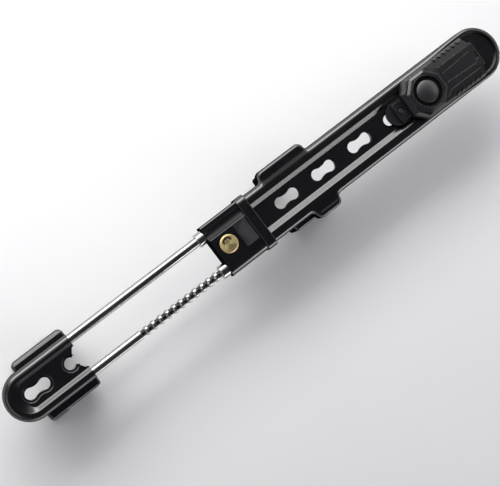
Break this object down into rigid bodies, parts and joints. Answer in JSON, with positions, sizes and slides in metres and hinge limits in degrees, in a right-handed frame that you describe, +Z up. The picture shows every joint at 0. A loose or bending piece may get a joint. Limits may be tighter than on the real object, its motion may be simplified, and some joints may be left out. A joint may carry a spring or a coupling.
{
  "type": "steering wheel lock",
  "caption": "Twin-rod steering wheel lock: a sliding claw and a fixed claw hook the rim, a key cylinder locks the rods, and a battery siren sits on the sheath.",
  "frame": {"origin": "midway along the lock at its rest length, on the plane that its hooks stand on", "axes": "+X along the lock from the sliding claw to the siren, +Y across towards the plain rod, +Z up through the front face"},
  "size_m": [0.689, 0.084, 0.0901],
  "materials": {
    "black_steel": "semi-gloss black coating",
    "satin_black": "satin black paint",
    "grey_plate": "satin grey",
    "chrome": "polished chrome",
    "dark_steel": "machined steel",
    "brass": "turned brass",
    "grey_plastic": "fine matte dark grey",
    "button_plastic": "fine matte dark grey",
    "black_rubber": "matte black",
    "black_plastic": "matte black",
    "board_green": "solder mask green",
    "battery_wrap": "plain wrapped cell"
  },
  "bodies": {
    "sheath": {"sheath_shell": "black_steel", "sheath_back": "black_steel", "rear_hook_left": "black_steel", "rear_hook_right": "black_steel", "rear_rivets": "dark_steel", "stop_block": "dark_steel", "collar_band": "black_steel", "lock_housing": "black_steel", "housing_rivets": "dark_steel", "ferrules": "chrome", "lock_cover": "satin_black", "blank_plate": "grey_plate", "cylinder_barrel": "dark_steel", "alarm_base": "grey_plastic", "tab_screw": "dark_steel", "alarm_case": "grey_plastic", "board_screws": "dark_steel", "alarm_bezel": "grey_plastic", "button_seal": "black_rubber", "button_spring": "dark_steel", "button_switch": "black_plastic", "circuit_board": "board_green", "siren_sounder": "black_plastic", "batteries": "battery_wrap", "battery_contacts": "dark_steel"},
    "claw": {"claw_shell": "black_steel", "claw_back": "black_steel", "front_hook_left": "black_steel", "front_hook_right": "black_steel", "front_rivets": "dark_steel", "rod_sockets": "dark_steel", "socket_pins": "dark_steel", "plain_rod": "chrome", "notched_rod": "chrome", "rod_stops": "dark_steel"},
    "key_plug": {"key_plug": "brass", "plug_cam": "brass"},
    "pawl": {"pawl": "dark_steel"},
    "alarm_button": {"alarm_button": "button_plastic"},
    "battery_door": {"battery_door": "grey_plastic"}
  },
  "joints": [
    {"name": "claw_slide", "type": "slide", "parent": "sheath", "child": "claw", "axis": [1, 0, 0], "range_m": [-0.057, 0.133]},
    {"name": "key_turn", "type": "hinge", "parent": "sheath", "child": "key_plug", "pos_m": [-0.049, -0.001, 0.068], "axis": [0, 0, 1], "range_deg": [0, 90]},
    {"name": "pawl_slide", "type": "slide", "parent": "sheath", "child": "pawl", "axis": [0, 1, 0], "range_m": [-0.0023, 0]},
    {"name": "button_press", "type": "slide", "parent": "sheath", "child": "alarm_button", "axis": [0, 0, -1], "range_m": [0, 0.0018], "stiffness_N_per_m": 600, "springref_m": -0.0005, "deforming": ["button_spring"]},
    {"name": "battery_door_slide", "type": "slide", "parent": "sheath", "child": "battery_door", "axis": [1, 0, 0], "range_m": [0, 0.04]}
  ],
  "couplings": [
    {"joint": "pawl_slide", "follows": "key_turn", "m_per_rad": -0.0014405}
  ]
}
